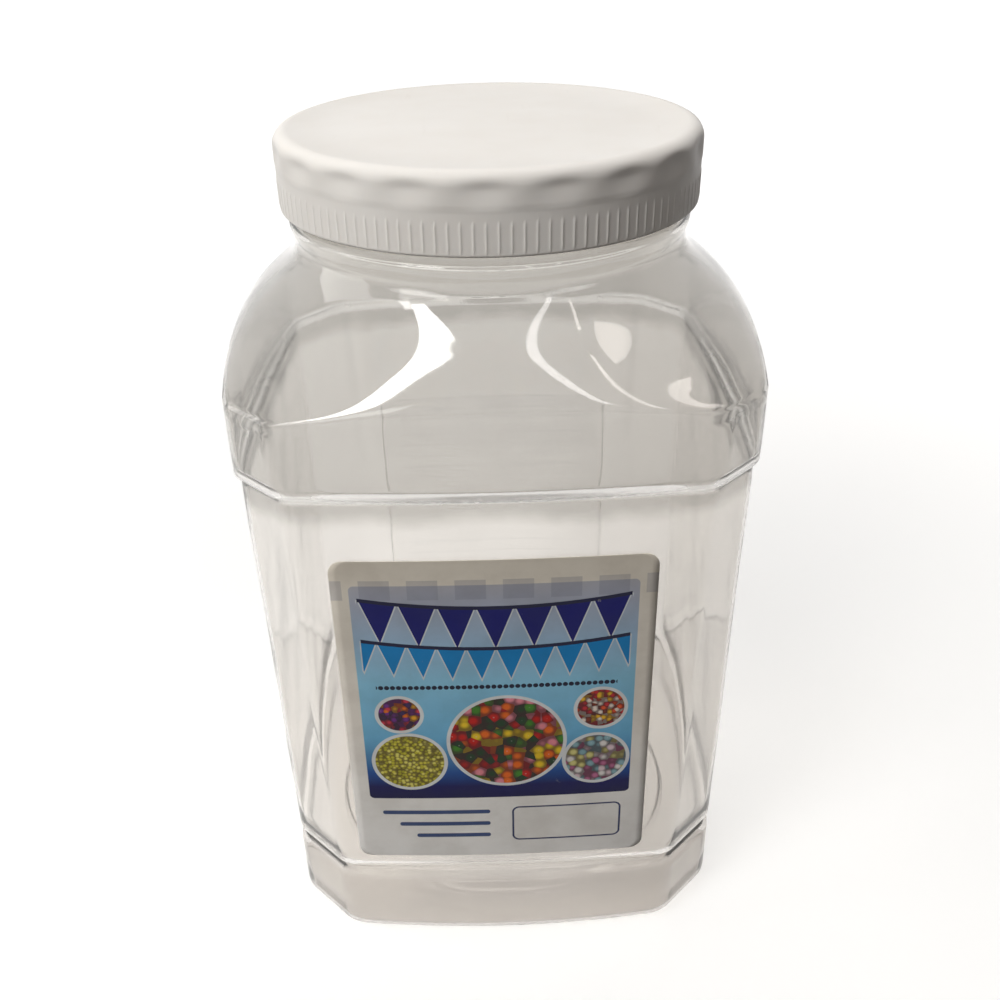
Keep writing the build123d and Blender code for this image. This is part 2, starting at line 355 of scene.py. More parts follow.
def jar_rows(coarse, outside):
    """Rows of (height, angles, radius) from the middle of the base to the rim, or to the neck inside."""
    rows = []
    even = columns(0, 0)

    def ring(height, radius, angles=even):
        rows.append((height, angles, radius * np.ones_like(angles)))

    # Roof of the hollow under the base, its wall, and the rounded way in
    low_angles = columns(edge_angle(panel_half_width_low, corner_cut_low), column_crowd)
    roof_radius = recess_radius - recess_draft
    for radius in steps(6, roof_radius - recess_edge, 12):
        ring(recess_depth, radius, low_angles)
    for angle in arc_steps(3):
        ring(recess_depth - recess_edge * (1 - math.cos(angle)),
             roof_radius - recess_edge * (1 - math.sin(angle)), low_angles)
    for angle in arc_steps(4):
        ring(recess_edge * (1 - math.sin(angle)),
             recess_radius + recess_edge * (1 - math.cos(angle)), low_angles)

    # Standing ring and heel
    flat_edge = panel_half_width_low - heel_radius
    inner_edge = recess_radius + recess_edge
    corner = corner_cut_low - corner_per_inset * heel_radius + heel_corner_tuck
    outer_edge = eight_sided(low_angles, flat_edge, base_bow, corner, edge_blend)
    for share in (0.35, 0.7):
        rows.append((0, low_angles, inner_edge + (outer_edge - inner_edge) * share))
    for angle in [0] + arc_steps(round(heel_rows / coarse)):
        tuck = heel_radius * (1 - math.sin(angle))
        corner_tuck = heel_corner_tuck * (1 - math.sin(angle))
        radius = eight_sided(low_angles, panel_half_width_low - tuck, base_bow,
                             corner_cut_low - corner_per_inset * tuck + corner_tuck, edge_blend)
        rows.append((heel_radius * (1 - math.cos(angle)), low_angles, radius))

    # Base wall, crease and label panels
    crease_low = groove_height - 2 * groove_half_height
    crease_high = groove_height + 2 * groove_half_height
    fall = ledge_fillet if outside else inner_ledge_fall
    rise = ledge_lip if outside else inner_ledge_rise
    levels = steps(heel_radius, crease_low, base_rows * coarse)[1:]
    levels += steps(crease_low, crease_high, crease_rows * coarse)[1:]
    levels += steps(crease_high, ledge_height - fall, panel_rows * coarse)[1:]
    for height in levels:
        angles = columns(edge_angle(panel_half_width(height), corner_cut(height)), column_crowd)
        half_width = panel_half_width(height) - groove_dent(height, outside)
        radius = eight_sided(angles, half_width, panel_bulge(height), corner_cut(height), edge_blend)
        grow = ease((height - crease_high) / wave_fade_low)
        fade = float(grow * ease((ledge_height - height) / wave_fade_high))
        rows.append((height, angles, radius + panel_wave(angles, height) * fade))

    # Ledge: a small fillet, then its rounded lip, or a gentle step on the inside
    band_edge = edge_angle(band_half_width, corner_cut_high)
    angles = columns(band_edge, column_crowd)
    under = eight_sided(angles, panel_half_width_high, panel_bow, corner_cut_high, edge_blend)
    over = eight_sided(angles, band_half_width, shoulder_bow, corner_cut_high, edge_blend)
    step_out = (over - ledge_lip - under) / 2
    if outside:
        for angle in arc_steps(4):
            height = ledge_height - fall * (1 - math.sin(angle))
            rows.append((height, angles, under + step_out * (1 - math.cos(angle))))
        for angle in [0] + arc_steps(6):
            height = ledge_height + rise * (1 - math.cos(angle))
            rows.append((height, angles, over - rise * (1 - math.sin(angle))))
    else:
        for height in steps(ledge_height - fall, ledge_height + rise, ledge_rows)[1:]:
            share = float(ease((height - ledge_height + fall) / (fall + rise)))
            rows.append((height, angles, under + (over - under) * share))

    # Band and shoulder
    for height in steps(ledge_height + rise, shoulder_height, band_rows * coarse)[1:]:
        lean = band_lean * float(ease((height - ledge_height) / band_lean_rise))
        radius = eight_sided(angles, band_half_width + lean, shoulder_bow, corner_cut_high, edge_blend)
        rows.append((height, angles, radius))
    for height in steps(shoulder_height, neck_root_height, shoulder_rows * coarse)[1:]:
        bow = shoulder_bulge(height)
        reach = shoulder_reach(height)
        ridge = min(band_edge, math.atan2(hollow_strip(height), reach))
        crowding = column_crowd * float(ease((neck_root_height - height) / crowd_fade))
        angles = columns(max(ridge, ridge_angle_least), crowding)
        radius = eight_sided(angles, reach - bow, bow, corner_cut_high, edge_blend)
        settle = float(ease((height - shoulder_height - hollow_blend_start) / hollow_blend_rise))
        rounding = hollow_blend_low + (hollow_blend_high - hollow_blend_low) * settle
        radius = blend_min(radius, hollow_reach(height) * np.ones_like(angles), rounding)
        join = float(ease((height - neck_root_height + neck_join) / neck_join))
        rows.append((height, angles, radius + (neck_root_radius - radius) * join))
    if not outside:
        return rows

    # Neck bead, threaded finish and rim
    for height in steps(neck_root_height, neck_bead_end, bead_rows)[1:]:
        ring(height, neck_profile(height))
    foot = cap_foot + thread_start
    for height in steps(neck_bead_end, mouth_height - rim_rounding, thread_rows)[1:]:
        rows.append((height, even, neck_radius + thread_rise(even, height, foot, thread_depth)))
    for angle in arc_steps(4):
        ring(mouth_height - rim_rounding * (1 - math.sin(angle)),
             neck_radius - rim_rounding * (1 - math.cos(angle)))
    return rows


def row_points(rows):
    """Points of the rows as an array of rows by columns by three."""
    return np.array([
        np.stack([r * np.cos(angles), r * np.sin(angles), np.full_like(angles, height)], axis=1)
        for height, angles, r in rows
    ])


def row_normals(points):
    """Outward unit normals of a grid of rings."""
    around = np.roll(points, -1, axis=1) - np.roll(points, 1, axis=1)
    normal = np.cross(around, np.gradient(points, axis=0))
    return normal / np.maximum(np.linalg.norm(normal, axis=2, keepdims=True), 1e-9)


def mesh_object(name, points, faces):
    """Smooth-shaded object from points in millimetres."""
    mesh = bpy.data.meshes.new(name)
    mesh.from_pydata([tuple(p) for p in np.asarray(points) * MM], [], faces)
    mesh.update()
    mesh.shade_smooth()
    obj = bpy.data.objects.new(name, mesh)
    bpy.context.scene.collection.objects.link(obj)
    return obj


def ring_mesh(name, points):
    """Closed mesh of a grid of rings, whose first and last ring are closed to a middle point."""
    rings, around = points.shape[:2]
    faces = []
    for i in range(rings - 1):
        a, b = i * around, (i + 1) * around
        faces += [(a + j, a + (j + 1) % around, b + (j + 1) % around, b + j) for j in range(around)]
    first = rings * around
    top = first - around
    faces += [(first, (j + 1) % around, j) for j in range(around)]
    faces += [(first + 1, top + j, top + (j + 1) % around) for j in range(around)]
    middles = [points[0].mean(axis=0), points[-1].mean(axis=0)]
    return mesh_object(name, np.concatenate([points.reshape(-1, 3), middles]), faces)


def make_jar():
    """Clear body as one closed skin: the outside, the rim and the inside."""
    outside = row_points(jar_rows(1, True))
    rows = jar_rows(inside_coarseness, False)
    inside = row_points(rows)
    inside -= row_normals(inside) * wall
    kept = inside[:, :, 2].mean(axis=1) < neck_root_height - neck_seam
    angles = rows[-1][1]
    bore = []
    hidden = steps(neck_bead_end, neck_bead_end + neck_bore_taper, hidden_neck_rows)[1:]
    for height in steps(neck_root_height, neck_bead_end, inner_neck_rows) + hidden:
        share = float(ease((height - neck_bead_end) / neck_bore_taper))
        narrowing = (neck_radius - neck_shell - neck_bore) * share
        radius = neck_profile(height) - neck_shell - narrowing
        bore.append((height, angles, np.full(angles.shape, radius)))
    bore += [
        (height, angles, np.full(angles.shape, radius))
        for height, radius in (
            (mouth_height - 5 * rim_rounding, neck_bore),
            (mouth_height - rim_rounding / 2, neck_bore),
            (mouth_height - rim_rounding / 6, neck_bore + rim_flare),
            (mouth_height, neck_bore + rim_rounding / 2),
        )
    ]
    inside = np.concatenate([inside[kept], row_points(bore)])
    return ring_mesh("clear_body", np.concatenate([outside, inside[::-1]]))


def flute(angles, height):
    """Depth of the shallow flutes in the cap's band, which fade out at its top and foot."""
    deepen = min(max((height - cap_band_foot - flute_margin) / flute_rise, 0), 1)
    fade = deepen * float(ease((cap_top - flute_margin - height) / flute_fade))
    around = angles + math.pi / 2 + flute_shift
    return flute_depth * fade * (1 + np.cos(flute_count * around)) / 2


def rib(angles, height):
    """Height of the fine upright ribs on the cap's skirt."""
    fade = float(ease((height - rib_low) / rib_end) * ease((rib_high - height) / rib_end))
    place = np.mod(angles * rib_count / (2 * math.pi), 1)
    off = np.abs(place - 0.5)
    return rib_depth * fade * ease((rib_half + rib_side / 2 - off) / rib_side)


def make_cap():
    """Cap as one closed skin: underside of the top, thread, foot, ribs, band and top."""
    places = np.add.outer(np.arange(rib_count) + 0.5, rib_columns).ravel()
    angles = places * 2 * math.pi / rib_count
    rows = []

    def ring(height, radius):
        rows.append((height, angles, radius * np.ones_like(angles)))

    for radius in (8, 30, 50, cap_bore - cap_inner_edge):
        ring(cap_roof, radius)
    for angle in arc_steps(3):
        ring(cap_roof - cap_inner_edge * (1 - math.cos(angle)),
             cap_bore - cap_inner_edge * (1 - math.sin(angle)))
    foot = cap_foot + thread_start - thread_pitch / 2
    for height in steps(cap_roof - 1.5 * cap_inner_edge, cap_foot + cap_foot_edge, cap_rows):
        rows.append((height, angles, cap_bore - thread_rise(angles, height, foot, cap_thread_depth)))
    ring(cap_foot, cap_bore + cap_foot_inner)
    ring(cap_foot, skirt_foot_radius - cap_foot_outer)
    skirt = [cap_foot + 0.3 * cap_foot_edge, cap_foot + cap_foot_edge]
    skirt += steps(rib_low, rib_high, cap_rows) + [rib_high + rib_end, cap_band_foot]
    for height in skirt:
        share = (height - cap_foot) / (cap_band_foot - cap_foot)
        tuck = cap_foot_tuck * float(ease((cap_foot + cap_foot_edge - height) / cap_foot_edge))
        radius = skirt_foot_radius + (skirt_radius - skirt_foot_radius) * share - tuck
        rows.append((height, angles, radius + rib(angles, height)))
    step_out = cap_radius - skirt_radius
    step_top = cap_band_foot + cap_step_height
    for height in steps(cap_band_foot, step_top, cap_step_rows)[1:]:
        radius = skirt_radius + step_out * float(ease((height - cap_band_foot) / cap_step_height))
        rows.append((height, angles, radius - flute(angles, height)))
    first_band_row = 0.2
    for height in steps(step_top + first_band_row, cap_top - cap_edge, cap_band_rows):
        rows.append((height, angles, cap_radius - flute(angles, height)))
    for angle in arc_steps(9):
        height = cap_top - cap_edge * (1 - math.sin(angle))
        radius = cap_radius - cap_edge * (1 - math.cos(angle))
        rows.append((height, angles, radius - flute(angles, height) * math.cos(angle)))
    ring(cap_top, top_rim_radius)
    for radius in (top_panel_radius, 40, 20, 6):
        ring(cap_top - top_panel_sink, radius)
    return ring_mesh("threaded_cap", row_points(rows))


def panel_surface(x, height):
    """How far the outside of a label panel stands from the axis plane, at x across it."""
    half_width = panel_half_width(height) - groove_dent(height)
    bow = panel_bulge(height)
    return half_width + bow * (1 - (x / (half_width - corner_cut(height))) ** 2)


def make_label(name, low, high, side):
    """Film on a label panel, as a thin closed slab with rounded corners. Side is -1 at the front."""
    corner = label_corner
    centre = (low[0] + high[0]) / 2 / MM
    half = (high[0] - low[0]) / 2 / MM
    foot, top = low[2] / MM, high[2] / MM
    turns = np.linspace(0, math.pi / 2, label_bends + 1)[:-1]
    bends = [corner * (1 - math.cos(turn)) for turn in turns]
    straight = steps(foot + corner, top - corner, label_rows)
    levels = [foot + b for b in bends] + straight + [top - b for b in bends[::-1]]
    across = np.linspace(-1, 1, label_columns)
    skins = []
    for stand_off in label_faces:
        skin = []
        for height in levels:
            into = max(corner - min(height - foot, top - height), 0)
            reach = half - corner + math.sqrt(corner ** 2 - into ** 2)
            x = centre + across * reach
            depth = panel_surface(x, height) + stand_off + wave_height * label_clearance
            skin.append(np.stack([x, side * depth, np.full_like(x, height)], axis=1))
        skins.append(np.array(skin))
    rows, wide = len(levels), len(across)
    count = rows * wide
    faces = []
    for i in range(rows - 1):
        for j in range(wide - 1):
            a = i * wide + j
            quad = (a, a + 1, a + wide + 1, a + wide)
            faces.append(quad[::-1])
            faces.append(tuple(count + v for v in quad))
    border = list(range(wide)) + [i * wide + wide - 1 for i in range(1, rows)]
    border += [(rows - 1) * wide + j for j in range(wide - 2, -1, -1)]
    border += [i * wide for i in range(rows - 2, 0, -1)]
    for a, b in zip(border, border[1:] + border[:1]):
        faces.append((a, b, count + b, count + a))
    if side > 0:
        faces = [face[::-1] for face in faces]
    return mesh_object(name, np.concatenate([s.reshape(-1, 3) for s in skins]), faces)


# Materials
def new_material(name):
    """Empty node material: its tree and its output node."""
    material = bpy.data.materials.new(name)
    material.use_nodes = True
    material.node_tree.nodes.clear()
    return material, material.node_tree, material.node_tree.nodes.new("ShaderNodeOutputMaterial")


def plug(tree, socket, value):
    """Links an output to a socket, or sets the socket's own value."""
    if isinstance(value, bpy.types.NodeSocket):
        tree.links.new(value, socket)
    else:
        socket.default_value = value


def make_node(tree, kind, inputs=None, **settings):
    """Shader node of a kind, with its settings and inputs."""
    node = tree.nodes.new("ShaderNode" + kind)
    for key, value in settings.items():
        setattr(node, key, value)
    for key, value in (inputs or {}).items():
        plug(tree, node.inputs[key], value)
    return node


def calc(tree, operation, a, b=0.0, c=0.0):
    """One math node."""
    return make_node(tree, "Math", {0: a, 1: b, 2: c}, operation=operation).outputs[0]


def noise(tree, place, scale, detail=3.0, roughness=0.5):
    """Soft cloudy pattern around 0.5."""
    inputs = {"Vector": place, "Scale": scale, "Detail": detail, "Roughness": roughness}
    return make_node(tree, "TexNoise", inputs).outputs["Fac"]


def rescale(tree, value, low, high, to_low, to_high):
    """Smooth step from one value to another while the input goes from low to high."""
    inputs = {"Value": value, "From Min": low, "From Max": high, "To Min": to_low, "To Max": to_high}
    node = make_node(tree, "MapRange", inputs, interpolation_type="SMOOTHSTEP")
    return node.outputs["Result"]


def ramp(tree, value, stops, interpolation="LINEAR"):
    """Colour ramp from a list of (place, colour)."""
    node = make_node(tree, "ValToRGB", {"Fac": value})
    node.color_ramp.interpolation = interpolation
    while len(node.color_ramp.elements) < len(stops):
        node.color_ramp.elements.new(0.5)
    for element, (place, colour) in zip(node.color_ramp.elements, stops):
        element.position = place
        element.color = (*colour, 1)
    return node.outputs["Color"]


def mix_colour(tree, share, a, b, blend="MIX"):
    """Colour a with the share of colour b laid over it."""
    node = make_node(tree, "Mix", data_type="RGBA", blend_type=blend)
    plug(tree, node.inputs["Factor"], share)
    for index, colour in ((6, a), (7, b)):
        plug(tree, node.inputs[index], (*colour, 1) if isinstance(colour, tuple) else colour)
    return node.outputs[2]


def tint(tree, share, colour, factor):
    """Colour multiplied by a factor, as far as the share goes."""
    return mix_colour(tree, share, colour, mix_colour(tree, 1.0, colour, factor, "MULTIPLY"))


def bump(tree, height, strength, distance):
    """Normal of a slightly uneven surface."""
    inputs = {"Height": height, "Strength": strength, "Distance": distance}
    return make_node(tree, "Bump", inputs).outputs["Normal"]


def srgb(red, green, blue):
    """Colour as the eye reads it, 0 to 255, turned into a shader's linear values."""
    def linear(level):
        share = level / 255
        return ((share + 0.055) / 1.055) ** 2.4 if level > 10 else share / 12.92

    return linear(red), linear(green), linear(blue)


def object_place(tree):
    """Place on the piece, in metres."""
    return make_node(tree, "TexCoord").outputs["Object"]


def split(tree, place):
    """The three parts of a place."""
    node = make_node(tree, "SeparateXYZ", {"Vector": place})
    return node.outputs["X"], node.outputs["Y"], node.outputs["Z"]


def stretch(tree, place, scale):
    """Place whose patterns come out longer along an axis with a scale under 1."""
    return make_node(tree, "Mapping", {"Vector": place, "Scale": scale}).outputs[0]


def off_band(tree, value, centre, half):
    """Distance from a band of this half width about its centre, below 0 inside it."""
    off = calc(tree, "ABSOLUTE", calc(tree, "SUBTRACT", value, centre))
    return calc(tree, "SUBTRACT", off, half)


def length(tree, a, b):
    """Length of a flat vector."""
    squares = [calc(tree, "MULTIPLY", value, value) for value in (a, b)]
    return calc(tree, "SQRT", calc(tree, "ADD", *squares))


def paint(tree, output, shader):
    """The shader becomes what the surface shows."""
    tree.links.new(shader.outputs[0], output.inputs["Surface"])


# Spans over which painted shade and painted light change the clear plastic's tint, upwards or to the
# right
shoulder_painted_shade = (158 * MM, 165 * MM)
shoulder_painted_shade_drift = 8 * MM
neck_painted_light = (216 * MM, 220 * MM)
foot_thickness_and_shade = (24 * MM, 31 * MM)
right_painted_shade = (10 * MM, 60 * MM)
painted_ledge_highlight_height = (ledge_height - 0.2) * MM
painted_ledge_highlight_edge = (1.0 * MM, 2.2 * MM)


def clear_plastic():
    """Clear blown plastic, nearly clear below; painted shade greys and warms the shoulder and darkens
    the right side, painted light lightens the neck, the foot is darker partly for its thicker plastic
    and partly as painted shade, and a painted highlight runs along the ledge.
    """
    material, tree, output = new_material("clear_plastic")
    place = object_place(tree)
    side, _, height = split(tree, place)
    cloud = noise(tree, place, scale=60, detail=5)

    # Tint by height, side and slant: painted shade on the shoulder, the right side and in part the foot,
    # painted light on the neck; the darkening at a slant is the plastic's own tint
    # Greyer, warmer shoulder: painted shade
    drift = calc(tree, "MULTIPLY", calc(tree, "SUBTRACT", cloud, 0.5), shoulder_painted_shade_drift)
    share = rescale(tree, calc(tree, "ADD", height, drift), *shoulder_painted_shade, 0, 1)
    colour = ramp(tree, share, [
        (0.0, (0.92, 0.905, 0.885)),
        (0.5, (0.78, 0.765, 0.74)),
        (1.0, (0.645, 0.63, 0.605)),
    ])
    # Lighter neck: painted light
    colour = tint(tree, rescale(tree, height, *neck_painted_light, 0, 1), colour, (1.18, 1.18, 1.18))
    slant = make_node(tree, "LayerWeight", {"Blend": 0.5}).outputs["Facing"]
    colour = tint(tree, rescale(tree, slant, 0.5, 1.0, 0, 1), colour, (0.88, 0.867, 0.85))
    # Darker right side: painted shade
    colour = tint(tree, rescale(tree, side, *right_painted_shade, 0, 1), colour, (0.94, 0.935, 0.93))
    # Darker foot: partly the thicker base plastic, partly painted shade under it
    colour = tint(tree, rescale(tree, height, *foot_thickness_and_shade, 1, 0), colour, (0.80, 0.785, 0.775))

    # Painted highlight: a paler line along the ledge, where the surface is also rougher
    off_ledge = calc(tree, "ABSOLUTE", calc(tree, "SUBTRACT", height, painted_ledge_highlight_height))
    painted_ledge_highlight = rescale(tree, off_ledge, *painted_ledge_highlight_edge, 1, 0)
    colour = mix_colour(tree, painted_ledge_highlight, colour, (1.0, 0.995, 0.985))
    rough = rescale(tree, cloud, 0.3, 0.75, 0.015, 0.07)
    rough = calc(tree, "ADD", rough, calc(tree, "MULTIPLY", painted_ledge_highlight, 0.25))

    # Slow waves and fine upright streaks in the wall
    slow = noise(tree, place, scale=22, detail=2)
    streak = noise(tree, stretch(tree, place, (1, 1, 0.12)), scale=420, detail=3)
    relief = calc(tree, "ADD", slow, calc(tree, "MULTIPLY", streak, 0.012))
    plastic = make_node(tree, "BsdfPrincipled", {
        "Base Color": colour,
        "Roughness": rough,
        "IOR": 1.5,
        "Transmission Weight": 0.955,
        "Normal": bump(tree, relief, strength=0.35, distance=0.0012),
    })

    # Shadows as through tinted film
    shade = make_node(tree, "BsdfTransparent", {"Color": (0.86, 0.85, 0.83, 1)})
    shadow_ray = make_node(tree, "LightPath").outputs["Is Shadow Ray"]
    shaders = {0: shadow_ray, 1: plastic.outputs[0], 2: shade.outputs[0]}
    paint(tree, output, make_node(tree, "MixShader", shaders))
    return material


def white_plastic():
    """Satin white moulding with faint mottling, sink marks and light scuffs."""
    material, tree, output = new_material("white_plastic")
    place = object_place(tree)
    mottle = noise(tree, place, scale=30, detail=5, roughness=0.6)
    colour = ramp(tree, mottle, [(0.3, (0.845, 0.82, 0.785)), (0.7, (0.875, 0.855, 0.825))])
    scratch = noise(tree, stretch(tree, place, (1, 0.08, 1)), scale=300, detail=4, roughness=0.7)
    scuffs = rescale(tree, scratch, 0.62, 0.74, 0, 1)
    colour = mix_colour(tree, calc(tree, "MULTIPLY", scuffs, 0.12), colour, (0.70, 0.67, 0.63))
    rough = rescale(tree, noise(tree, place, scale=90, detail=4), 0.3, 0.7, 0.36, 0.5)
    rough = calc(tree, "ADD", rough, calc(tree, "MULTIPLY", scuffs, 0.1))
    grain = calc(tree, "MULTIPLY", noise(tree, place, scale=900, detail=2), 0.03)
    relief = calc(tree, "ADD", noise(tree, place, scale=25, detail=2), grain)
    paint(tree, output, make_node(tree, "BsdfPrincipled", {
        "Base Color": colour,
        "Roughness": rough,
        "IOR": 1.49,
        "Specular IOR Level": 0.12,
        "Subsurface Weight": 0.06,
        "Subsurface Radius": (0.004, 0.0035, 0.003),
        "Normal": bump(tree, relief, strength=0.25, distance=0.0008),
    }))
    return material


def seal_foam():
    """Closed-cell foam: matt, with fine cells."""
    material, tree, output = new_material("seal_foam")
    place = object_place(tree)
    pores = make_node(tree, "TexVoronoi", {"Vector": place, "Scale": 1400.0})
    cells = pores.outputs["Distance"]
    cloud = noise(tree, place, scale=45, detail=5)
    paint(tree, output, make_node(tree, "BsdfPrincipled", {
        "Base Color": ramp(tree, cloud, [(0.3, (0.80, 0.785, 0.75)), (0.7, (0.86, 0.85, 0.82))]),
        "Roughness": rescale(tree, cells, 0, 0.7, 0.7, 0.9),
        "Normal": bump(tree, cells, strength=0.5, distance=0.0003),
    }))
    return material


def rounded_box(tree, x, z, left, right, low, high, radius):
    """Distance from the edge of a rounded box, below 0 inside it, in millimetres."""
    spans = ((x, (left + right) / 2, (right - left) / 2), (z, (low + high) / 2, (high - low) / 2))
    outside = []
    for value, centre, half in spans:
        outside.append(calc(tree, "MAXIMUM", off_band(tree, value, centre, half - radius), 0.0))
    return calc(tree, "SUBTRACT", length(tree, *outside), radius)


def inside(tree, distance):
    """1 inside a shape, 0 outside it, with a soft printed edge."""
    edge = 0.08
    return rescale(tree, distance, -edge, edge, 1, 0)


def fill(tree, distance, colour, ink):
    """Colour with a shape printed over it."""
    return mix_colour(tree, inside(tree, distance), colour, srgb(*ink))


def outline(tree, distance, width, colour, ink):
    """Colour with the line round a shape printed over it."""
    return fill(tree, off_band(tree, distance, 0.0, width / 2), colour, ink)


def sweets(tree, place, size, palette):
    """Close-packed round sweets, each of one colour from the palette, darker in the gaps."""
    inputs = {"Vector": place, "Scale": 1 / (size * MM), "Randomness": 0.75}
    cells = make_node(tree, "TexVoronoi", inputs, voronoi_dimensions="3D")
    pick = make_node(tree, "SeparateColor", {"Color": cells.outputs["Color"]}).outputs[0]
    stops = [(i / len(palette), srgb(*colour)) for i, colour in enumerate(palette)]
    colour = ramp(tree, pick, stops, "CONSTANT")
    shade = rescale(tree, cells.outputs["Distance"], 0.25, 0.62, 0, 0.75)
    colour = mix_colour(tree, shade, colour, srgb(60, 35, 40))
    glint = rescale(tree, cells.outputs["Distance"], 0.0, 0.14, 0.35, 0)
    return mix_colour(tree, glint, colour, srgb(250, 245, 240))


def triangles(tree, x, z, spacing, shift, top, depth):
    """Distance from a row of hanging pennants, below 0 inside them."""
    off = calc(tree, "PINGPONG", calc(tree, "ADD", x, shift), spacing / 2)
    half_share, slant = 0.46, 0.9
    width = calc(tree, "MULTIPLY", calc(tree, "SUBTRACT", z, top - depth), half_share * spacing / depth)
    slope = calc(tree, "MULTIPLY", calc(tree, "SUBTRACT", off, width), slant)
    return calc(tree, "MAXIMUM", slope, calc(tree, "SUBTRACT", z, top))


def garlands(tree, x, z, colour):
    """Two garlands of pennants on drooping cords, with a beaded line under them."""
    half_width = 37.5
    droop = calc(tree, "MULTIPLY", calc(tree, "MULTIPLY", x, x), 0.0022)
    level = calc(tree, "SUBTRACT", z, droop)
    width_end = off_band(tree, x, 0.0, half_width)
    for spacing, shift, top, depth, shade in (
        (10.7, 0.0, 96.0, 13.5, (24, 26, 104)),
        (8.3, 4.15, 82.0, 10.5, (36, 138, 206)),
    ):
        row = triangles(tree, x, level, spacing, shift, top, depth)
        flags = calc(tree, "MAXIMUM", row, width_end)
        colour = outline(tree, flags, 0.7, colour, (222, 228, 232))
        colour = fill(tree, flags, colour, shade)
        cord = calc(tree, "MAXIMUM", off_band(tree, level, top + 0.3, 0.6), width_end)
        colour = fill(tree, cord, colour, (30, 32, 60))
    bead_line, bead_spacing, bead_radius = 68.6, 3.4, 0.75
    along = calc(tree, "PINGPONG", x, bead_spacing / 2)
    along = calc(tree, "SUBTRACT", along, bead_spacing / 4)
    bead = length(tree, along, calc(tree, "SUBTRACT", z, bead_line))
    bead = calc(tree, "SUBTRACT", bead, bead_radius)
    beads = calc(tree, "MAXIMUM", bead, off_band(tree, x, 0.0, half_width - 3.0))
    return fill(tree, beads, colour, (22, 24, 46))


def sweet_windows(tree, place, x, z, colour):
    """Five round windows of sweets: a large one in the middle, the others lower or higher beside it."""
    mixed = ((206, 44, 38), (246, 118, 44), (250, 214, 58), (74, 138, 46), (244, 152, 166), (34, 62, 36))
    limes = ((224, 214, 84), (204, 196, 66), (236, 228, 116), (184, 178, 58))
    pastels = ((236, 214, 222), (246, 242, 240), (206, 124, 164), (232, 226, 150), (150, 190, 200))
    berries = ((240, 122, 44), (122, 58, 146), (222, 70, 90), (248, 180, 58), (66, 46, 92))
    fruits = ((240, 96, 54), (250, 196, 60), (130, 60, 40), (248, 232, 220), (206, 60, 66))
    for middle, level, radius, size, palette in (
        (2.5, 47.5, 17.2, 3.1, mixed),
        (-26.5, 40.0, 10.8, 1.2, limes),
        (29.0, 39.5, 9.6, 2.4, pastels),
        (-28.5, 58.5, 6.6, 1.8, berries),
        (30.0, 59.0, 7.4, 1.6, fruits),
    ):
        sides = (middle - radius, middle + radius, level - radius, level + radius)
        window = rounded_box(tree, x, z, *sides, radius)
        colour = mix_colour(tree, inside(tree, window), colour, sweets(tree, place, size, palette))
        colour = outline(tree, window, 1.1, colour, (236, 240, 242))
    return colour


def writing_box(tree, x, z, colour):
    """Blank foot of the label: plain rules and an empty box to write in."""
    panel = rounded_box(tree, x, z, 4.0, 37.0, 6.5, 20.5, 2.0)
    colour = fill(tree, panel, colour, (248, 247, 244))
    colour = outline(tree, panel, 0.6, colour, (52, 60, 100))
    for level, left in ((19.0, -36.0), (14.0, -31.0), (9.0, -26.0)):
        line = rounded_box(tree, x, z, left, -3.0, level - 0.8, level + 0.8, 0.7)
        colour = fill(tree, line, colour, (66, 84, 128))
    return colour


def front_print(tree, place):
    """Printed design, in millimetres from the middle of the label's foot."""
    x, _, z = split(tree, place)
    x = calc(tree, "SUBTRACT", calc(tree, "DIVIDE", x, MM), (front_low[0] + front_high[0]) / 2 / MM)
    z = calc(tree, "SUBTRACT", calc(tree, "DIVIDE", z, MM), front_low[2] / MM)

    # Pale paper, warmer and greyer towards the top
    paper_height = 112.0
    paper = ramp(tree, calc(tree, "DIVIDE", z, paper_height), [
        (0.0, srgb(253, 253, 252)),
        (0.22, srgb(252, 251, 248)),
        (0.5, srgb(248, 243, 234)),
        (0.9, srgb(236, 230, 218)),
        (1.0, srgb(228, 221, 208)),
    ])

    # Field, from grey-blue at the top through light blue to navy at its foot
    field_foot, field_rise = 25.0, 82.0
    field = rounded_box(tree, x, z, -39.5, 39.5, field_foot, 104.0, 1.5)
    up = calc(tree, "DIVIDE", calc(tree, "SUBTRACT", z, field_foot), field_rise)
    sky = ramp(tree, up, [
        (0.00, srgb(10, 5, 66)),
        (0.06, srgb(14, 12, 80)),
        (0.13, srgb(44, 88, 160)),
        (0.30, srgb(122, 192, 232)),
        (0.55, srgb(152, 212, 242)),
        (0.72, srgb(166, 198, 226)),
        (0.88, srgb(178, 186, 204)),
        (1.00, srgb(190, 188, 192)),
    ])
    colour = mix_colour(tree, inside(tree, field), paper, sky)

    # Pale show-through blocks along the top
    block_spacing = 26.0
    across = calc(tree, "PINGPONG", x, block_spacing / 2)
    block = off_band(tree, across, block_spacing / 4, 4.2)
    strip = off_band(tree, z, 102.5, 3.2)
    ghost = calc(tree, "MULTIPLY", inside(tree, calc(tree, "MAXIMUM", block, strip)), 0.35)
    colour = mix_colour(tree, ghost, colour, srgb(132, 136, 156))

    colour = garlands(tree, x, z, colour)
    colour = sweet_windows(tree, place, x, z, colour)
    return writing_box(tree, x, z, colour)


